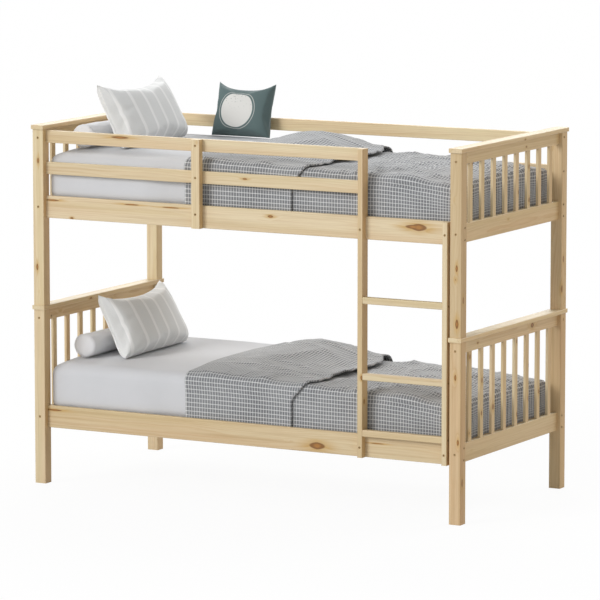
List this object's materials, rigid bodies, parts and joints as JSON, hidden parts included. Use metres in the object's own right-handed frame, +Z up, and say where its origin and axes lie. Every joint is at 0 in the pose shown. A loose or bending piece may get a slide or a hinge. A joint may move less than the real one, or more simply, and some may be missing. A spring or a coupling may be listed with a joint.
{
  "type": "bunk bed with ladder",
  "caption": "Pine bunk bed made as two stacked single beds, with a bolted front ladder, guard rails, slatted ends and made-up bedding.",
  "frame": {"origin": "on the floor, under the middle of the bed", "axes": "+X runs along the bed from the pillows to the ladder's end, +Y from the ladder to the back, +Z up"},
  "size_m": [2.03, 0.998, 1.6784],
  "materials": {
    "pine": "clear satin lacquer",
    "zinc_steel": "bronzed zinc",
    "webbing": "woven strap",
    "fitted_sheet": "smooth white cotton",
    "checked_blanket": "grey wool with a fine white grid",
    "bolster_cover": "smooth white cotton",
    "striped_cotton": "light grey cotton with thin white stripes",
    "cushion_print": null
  },
  "bodies": {
    "frame": {"lower_post_front_left": "pine", "lower_post_front_right": "pine", "lower_post_back_left": "pine", "lower_post_back_right": "pine", "upper_post_front_left": "pine", "upper_post_front_right": "pine", "upper_post_back_left": "pine", "upper_post_back_right": "pine", "lower_cap_left": "pine", "lower_cap_right": "pine", "upper_cap_left": "pine", "upper_cap_right": "pine", "lower_end_top_rail_left": "pine", "lower_end_top_rail_right": "pine", "upper_end_top_rail_left": "pine", "upper_end_top_rail_right": "pine", "lower_end_rail_left": "pine", "lower_end_rail_right": "pine", "upper_end_rail_left": "pine", "upper_end_rail_right": "pine", "lower_end_slats_left": "pine", "lower_end_slats_right": "pine", "upper_end_slats_left": "pine", "upper_end_slats_right": "pine", "lower_side_rail_front": "pine", "lower_side_rail_back": "pine", "upper_side_rail_front": "pine", "upper_side_rail_back": "pine", "lower_cleats": "pine", "upper_cleats": "pine", "lower_bed_slats": "pine", "upper_bed_slats": "pine", "slat_straps": "webbing", "front_guard_rail_top": "pine", "front_guard_rail_low": "pine", "back_guard_rail_top": "pine", "back_guard_rail_low": "pine", "guard_upright": "pine", "ladder_stile_left": "pine", "ladder_stile_right": "pine", "ladder_rungs": "pine", "stacking_pins": "zinc_steel", "wood_dowels": "pine", "frame_bolts": "zinc_steel", "barrel_nuts": "zinc_steel", "short_bolts": "zinc_steel", "insert_nuts": "zinc_steel", "rung_screws": "zinc_steel", "cleat_screws": "zinc_steel", "bed_slat_screws": "zinc_steel"},
    "lower_mattress": {"lower_mattress": "fitted_sheet", "lower_blanket": "checked_blanket"},
    "lower_bolster": {"lower_bolster": "bolster_cover"},
    "lower_pillow": {"lower_pillow": "striped_cotton"},
    "upper_mattress": {"upper_mattress": "fitted_sheet", "upper_blanket": "checked_blanket"},
    "upper_bolster": {"upper_bolster": "bolster_cover"},
    "upper_pillow": {"upper_pillow": "striped_cotton"},
    "upper_cushion": {"upper_cushion": "cushion_print"}
  },
  "joints": [
    {"name": "lower_mattress_lift", "type": "slide", "parent": "frame", "child": "lower_mattress", "axis": [0, 0, 1], "range_m": [0, 0.1]},
    {"name": "lower_bolster_lift", "type": "slide", "parent": "lower_mattress", "child": "lower_bolster", "axis": [0, 0, 1], "range_m": [0, 0.1]},
    {"name": "lower_pillow_lift", "type": "slide", "parent": "lower_bolster", "child": "lower_pillow", "axis": [0, 0, 1], "range_m": [0, 0.1]},
    {"name": "upper_mattress_lift", "type": "slide", "parent": "frame", "child": "upper_mattress", "axis": [0, 0, 1], "range_m": [0, 0.35]},
    {"name": "upper_bolster_lift", "type": "slide", "parent": "upper_mattress", "child": "upper_bolster", "axis": [0, 0, 1], "range_m": [0, 0.2]},
    {"name": "upper_pillow_lift", "type": "slide", "parent": "upper_bolster", "child": "upper_pillow", "axis": [0, 0, 1], "range_m": [0, 0.3]},
    {"name": "upper_cushion_lift", "type": "slide", "parent": "upper_mattress", "child": "upper_cushion", "axis": [0, 0, 1], "range_m": [0, 0.3]}
  ]
}
